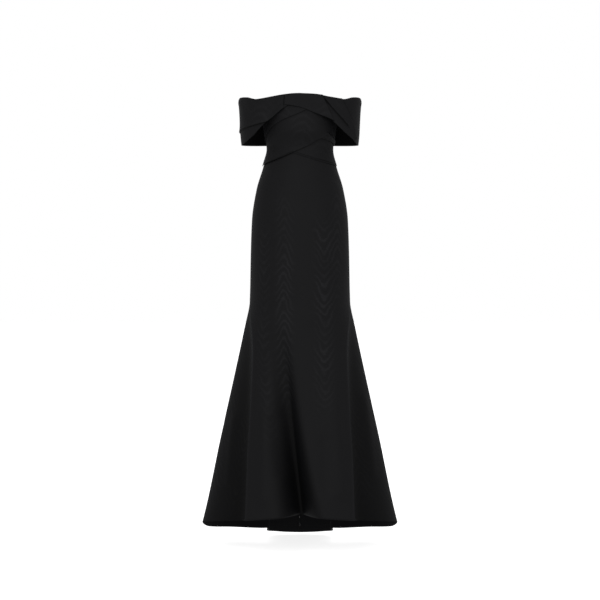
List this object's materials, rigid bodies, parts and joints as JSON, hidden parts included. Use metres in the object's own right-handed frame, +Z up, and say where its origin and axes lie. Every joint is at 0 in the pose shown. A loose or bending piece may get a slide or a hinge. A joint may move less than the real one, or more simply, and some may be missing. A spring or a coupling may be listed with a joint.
{
  "type": "trumpet gown",
  "caption": "Hollow black trumpet gown with an off-the-shoulder band, a wrapped bodice, side godets that flare from the knee and a small train.",
  "frame": {"origin": "middle of the waist, where the wearer's body holds the gown", "axes": "+Z up, -Y out of the centre front, +X to the right-hand side as seen from the front"},
  "size_m": [0.646, 0.6132, 1.4839],
  "materials": {
    "faille": "black watered faille with fine cross ribs and a low sheen",
    "lining_side": "black zip tape, matt"
  },
  "bodies": {
    "root": {"skirt_front": "faille", "skirt_godet_left": "faille", "skirt_godet_right": "faille", "skirt_back_left": "faille", "skirt_back_right": "faille", "bodice_front": "faille", "bodice_back_left": "faille", "bodice_back_right": "faille", "wrap_upper": "faille", "wrap_main": "faille", "wrap_lower": "faille", "band_front_left": "faille", "band_front_right": "faille", "band_back_left": "faille", "band_back_right": "faille", "zip_tape": "lining_side"}
  },
  "joints": []
}
